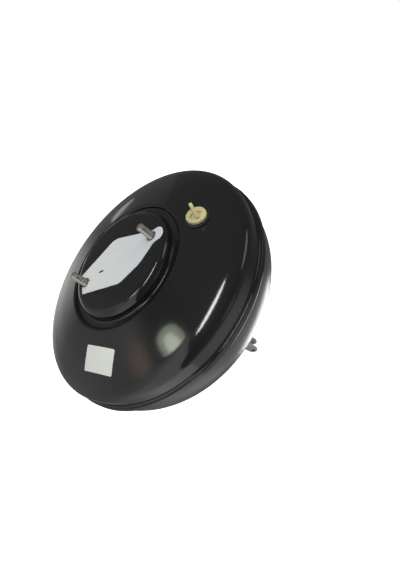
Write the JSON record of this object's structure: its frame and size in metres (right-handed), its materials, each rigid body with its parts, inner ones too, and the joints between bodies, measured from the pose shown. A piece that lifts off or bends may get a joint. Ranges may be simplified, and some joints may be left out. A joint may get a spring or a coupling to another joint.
{
  "type": "vacuum brake booster",
  "caption": "Round vacuum brake servo with a rolled-rim steel casing, studs front and rear, a valve body and power piston inside, and a pushrod with a clevis.",
  "frame": {"origin": "centre of the rear face, where it seats on the bulkhead", "axes": "+Y along the axis towards the pedal, -Y towards the master cylinder, +Z from the axis to the vacuum port, along the line of the two master cylinder studs"},
  "size_m": [0.272, 0.2669, 0.272],
  "materials": {
    "black_paint": "gloss black stove enamel",
    "zinc": "zinc plated, satin",
    "pressed_steel": "zinc plated pressing",
    "spring_steel": "oil-tempered wire, coated",
    "black_rubber": "matt moulded rubber",
    "seal_rubber": "matt moulded rubber",
    "film": "white adhesive film",
    "label": "white paper label, unprinted",
    "cream_plastic": "cream moulded plastic",
    "valve_plastic": "dark moulded thermoset",
    "bush_plastic": "natural acetal",
    "turned_steel": "turned steel",
    "felt": "felt",
    "foam": "open-cell foam"
  },
  "bodies": {
    "root": {"front_shell": "black_paint", "rear_shell": "black_paint", "front_reinforcement_plate": "pressed_steel", "rear_reinforcement_plate": "pressed_steel", "master_cylinder_studs": "zinc", "bulkhead_studs": "zinc", "flange_film": "film", "label": "label", "vacuum_port_grommet": "black_rubber", "diaphragm": "black_rubber", "neck_seal": "seal_rubber", "guide_bush": "bush_plastic", "neck_seal_ring": "pressed_steel", "dust_boot": "black_rubber", "return_spring": "spring_steel"},
    "power_piston": {"valve_body": "valve_plastic", "diaphragm_plate": "pressed_steel", "reaction_disc": "seal_rubber", "output_rod": "turned_steel", "output_rod_adjuster": "zinc", "output_rod_retainer": "pressed_steel", "stop_key": "pressed_steel", "poppet_retainer": "pressed_steel", "poppet_spring": "spring_steel", "air_filter": "foam", "silencer": "felt", "rod_return_spring": "spring_steel"},
    "plunger": {"plunger": "turned_steel"},
    "poppet": {"poppet_valve": "seal_rubber"},
    "input_rod": {"input_rod": "zinc", "rod_spring_seat": "pressed_steel", "lock_nut": "zinc", "clevis": "zinc"},
    "vacuum_plug": {"vacuum_plug": "cream_plastic"}
  },
  "joints": [
    {"name": "power_piston_slide", "type": "slide", "parent": "root", "child": "power_piston", "axis": [0, -1, 0], "range_m": [0, 0.032], "stiffness_N_per_m": 2500, "springref_m": -0.04, "deforming": ["return_spring", "dust_boot", "diaphragm"]},
    {"name": "plunger_slide", "type": "slide", "parent": "power_piston", "child": "plunger", "axis": [0, -1, 0], "range_m": [0, 0.002], "stiffness_N_per_m": 5000, "springref_m": -0.008, "deforming": ["rod_return_spring"]},
    {"name": "poppet_slide", "type": "slide", "parent": "power_piston", "child": "poppet", "axis": [0, -1, 0], "range_m": [0, 0.0008], "deforming": ["poppet_spring"]},
    {"name": "input_rod_tilt", "type": "hinge", "parent": "plunger", "child": "input_rod", "pos_m": [0, 0.008, 0], "axis": [1, 0, 0], "range_deg": [-11.8, 1.2], "deforming": ["rod_return_spring"]},
    {"name": "vacuum_plug_pull", "type": "slide", "parent": "root", "child": "vacuum_plug", "axis": [0, -0.9563, 0.2924], "range_m": [0, 0.025]}
  ],
  "couplings": [
    {"joint": "poppet_slide", "follows": "plunger_slide", "ratio": 0.4}
  ]
}
